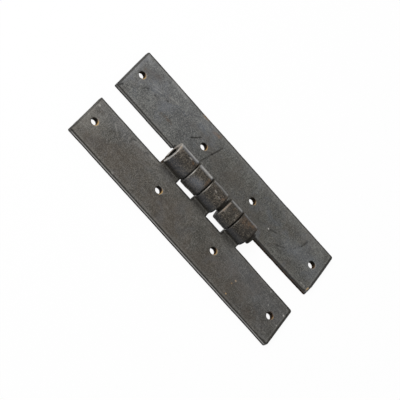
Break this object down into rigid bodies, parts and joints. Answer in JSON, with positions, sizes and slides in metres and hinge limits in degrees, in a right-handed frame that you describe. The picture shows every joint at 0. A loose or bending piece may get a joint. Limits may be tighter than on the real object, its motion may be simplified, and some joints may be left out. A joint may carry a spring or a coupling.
{
  "type": "h hinge",
  "caption": "Forged H hinge: long flat leaves joined at mid-length by a barrel of rolled knuckles on a pin, with plain screw holes for fixing to the faces of a door and its frame.",
  "frame": {"origin": "middle of the overall outline, on the back plane that lies against the door and its frame", "axes": "+Z out of the front face, +Y along the pin towards the square-cut ends, +X towards the door leaf"},
  "size_m": [0.1039, 0.2324, 0.0233],
  "materials": {
    "frame_leaf_iron": "forged, oil-blackened and waxed",
    "door_leaf_iron": "forged, oil-blackened and waxed",
    "pin_iron": "dark, oily bar"
  },
  "bodies": {
    "frame": {"frame_leaf": "frame_leaf_iron", "hinge_pin": "pin_iron"},
    "door": {"door_leaf": "door_leaf_iron"}
  },
  "joints": [
    {"name": "leaf_swing", "type": "hinge", "parent": "frame", "child": "door", "pos_m": [-0.00125, 0.00075, 0.013], "axis": [0, -1, 0], "range_deg": [-70, 195]}
  ]
}
